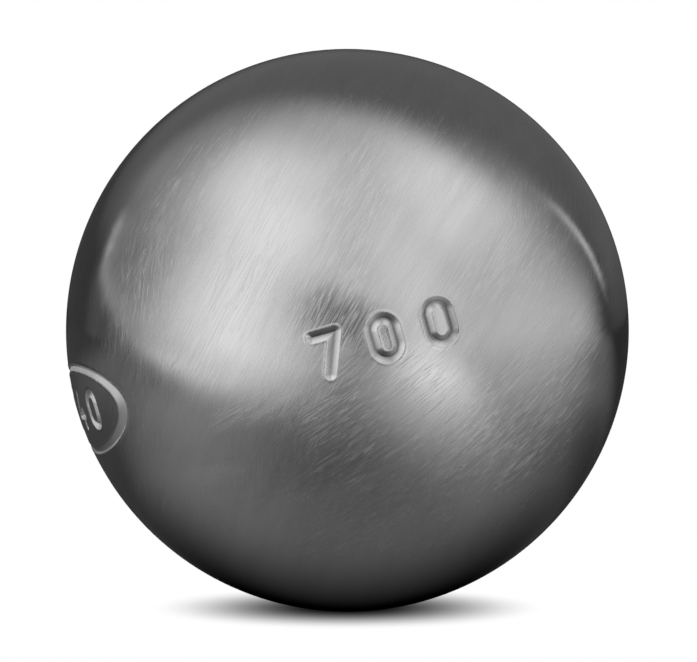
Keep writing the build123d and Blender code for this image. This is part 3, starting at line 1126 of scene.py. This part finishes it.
def white_floor(tree):
    """White surface with a soft shadow painted round the ball's foot."""
    settings = bpy.context.scene.boule_stage
    right, _, nearer = axes_at(settings.azimuth, 0.0)
    place = add_value(tree, "ShaderNodeTexCoord", output="Object")
    sideways = add_vector(tree, "DOT_PRODUCT", place, tuple(right))
    depth = add_vector(tree, "DOT_PRODUCT", place, tuple(nearer / settings.shadow_depth))
    span = add_vector(tree, "LENGTH", add_parts(tree, sideways, depth))
    # Painted shadow: the floor's glow darkens smoothly towards the ball's foot over an oval reach, and is not
    # cast
    painted_shadow_fade = add_range(tree, span, SHADOW_START, settings.shadow_reach, smooth=True)
    shade = add_math(tree, "POWER", painted_shadow_fade, SHADOW_POWER)
    glow = add_value(tree, "ShaderNodeEmission", {"Strength": shade})
    paper = add_value(tree, "ShaderNodeBsdfDiffuse", {"Color": FLOOR_COLOUR})
    path = add_node(tree, "ShaderNodeLightPath").outputs
    seen = add_math(tree, "ADD", path["Is Camera Ray"], path["Is Glossy Ray"])
    seen = add_math(tree, "ADD", seen, path["Is Transmission Ray"])
    return add_value(tree, "ShaderNodeMixShader", {0: seen, 1: paper, 2: glow})


def add_floor():
    """White floor under the ball."""
    side = FLOOR_HALF_SIDE
    corners = [(-side, -side), (side, -side), (side, side), (-side, side)]
    mesh = bpy.data.meshes.new("white_floor")
    mesh.from_pydata([(x, y, -BALL_RADIUS) for x, y in corners], [], [(0, 1, 2, 3)])
    mesh.materials.append(glow_material(white_floor, "white_floor"))
    add_object("white_floor", mesh)


def add_camera(settings):
    """Camera at the photograph's viewing angle, with the ball as large in the frame as there."""
    camera = bpy.data.cameras.new("front_camera")
    camera.sensor_fit = "HORIZONTAL"
    half_angle = asin(BALL_RADIUS / settings.distance)
    camera.lens = BALL_RADIUS_PX / tan(half_angle) * camera.sensor_width / IMAGE_WIDTH
    camera.shift_x, camera.shift_y = (-offset / IMAGE_WIDTH for offset in BALL_OFFSET_PX)
    camera.clip_start = 0.01
    obj = add_object("front_camera", camera)
    right, up, back = camera_axes()
    obj.matrix_world = Matrix((right, up, back)).transposed().to_4x4()
    obj.location = back * settings.distance
    bpy.context.scene.camera = obj


class BOULE_OT_stage(bpy.types.Operator):
    """Set up the floor, the light tent, the world and the camera"""

    bl_idname = "boule.stage"
    bl_label = "Stage"

    def execute(self, context):
        settings = context.scene.boule_stage
        add_floor()
        add_tent(settings)
        add_camera(settings)
        world = bpy.data.worlds.new("white_room")
        world.use_nodes = True
        background = world.node_tree.nodes["Background"]
        background.inputs["Color"].default_value = (1.0, 1.0, 1.0, 1.0)
        background.inputs["Strength"].default_value = 1.0
        context.scene.world = world
        context.scene.view_settings.view_transform = "Standard"
        return {"FINISHED"}


OPERATORS = (
    BOULE_OT_front_half_shell,
    BOULE_OT_rear_half_shell,
    BOULE_OT_weld_bead,
    BOULE_OT_stage,
)


class BOULE_PT_sidebar(bpy.types.Panel):
    """Settings and steps of the boule"""

    bl_idname = "BOULE_PT_sidebar"
    bl_label = "Petanque Boule"
    bl_space_type = "VIEW_3D"
    bl_region_type = "UI"
    bl_category = "Boule"

    def draw(self, context):
        for name, settings in SETTINGS:
            box = self.layout.box()
            box.label(text=settings.__doc__)
            for field in settings.__annotations__:
                box.prop(getattr(context.scene, name), field)
        for operator in OPERATORS:
            self.layout.operator(operator.bl_idname)


CLASSES = (*(settings for name, settings in SETTINGS), *OPERATORS, BOULE_PT_sidebar)


def register():
    for cls in CLASSES:
        bpy.utils.register_class(cls)
    for name, settings in SETTINGS:
        setattr(bpy.types.Scene, name, PointerProperty(type=settings))


def unregister():
    for name, settings in SETTINGS:
        delattr(bpy.types.Scene, name)
    for cls in reversed(CLASSES):
        bpy.utils.unregister_class(cls)


def main():
    """Build the boule and its stage."""
    register()
    bpy.ops.boule.front_half_shell()
    bpy.ops.boule.rear_half_shell()
    bpy.ops.boule.weld_bead()
    bpy.ops.boule.stage()


if __name__ == "__main__":
    main()
